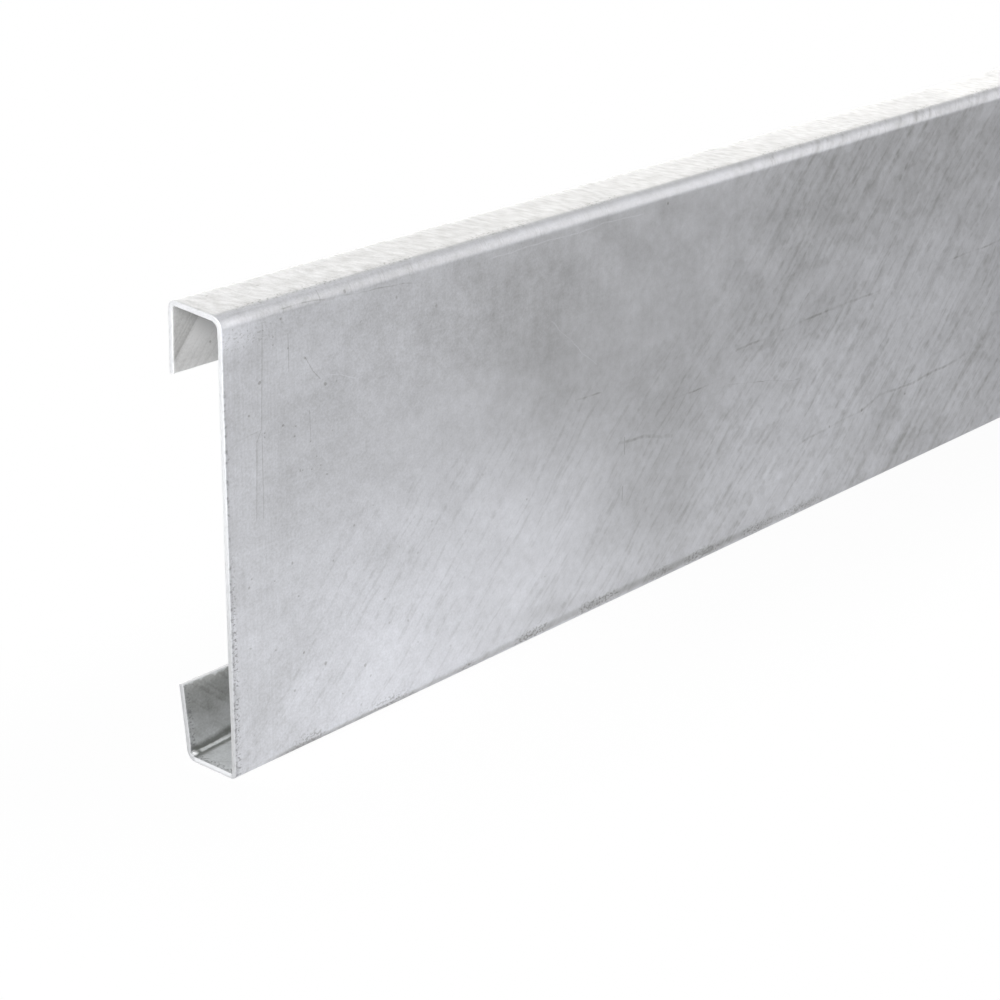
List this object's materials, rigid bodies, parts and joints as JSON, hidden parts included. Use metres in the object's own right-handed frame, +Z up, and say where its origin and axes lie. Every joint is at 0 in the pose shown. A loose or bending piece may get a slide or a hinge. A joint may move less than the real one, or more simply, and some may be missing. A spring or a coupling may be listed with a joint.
{
  "type": "c purlin",
  "caption": "Lipped C purlin of folded, hot-dip galvanised sheet steel, with a tall plain web, narrow flanges and lips turned towards each other; carries roof or wall sheets.",
  "frame": {"origin": "middle of the box around the purlin, at the level of the underside of its bottom flange", "axes": "+X along the purlin's length, +Y from the web towards the open side, +Z up along the web"},
  "size_m": [3, 0.0334, 0.2018],
  "materials": {
    "galvanised_zinc": "hot-dip galvanised zinc, matt to satin grey, with pale bends and cut edges, diagonal flow streaks, fine scratches and small dark specks"
  },
  "bodies": {
    "root": {"c_purlin": "galvanised_zinc"}
  },
  "joints": []
}
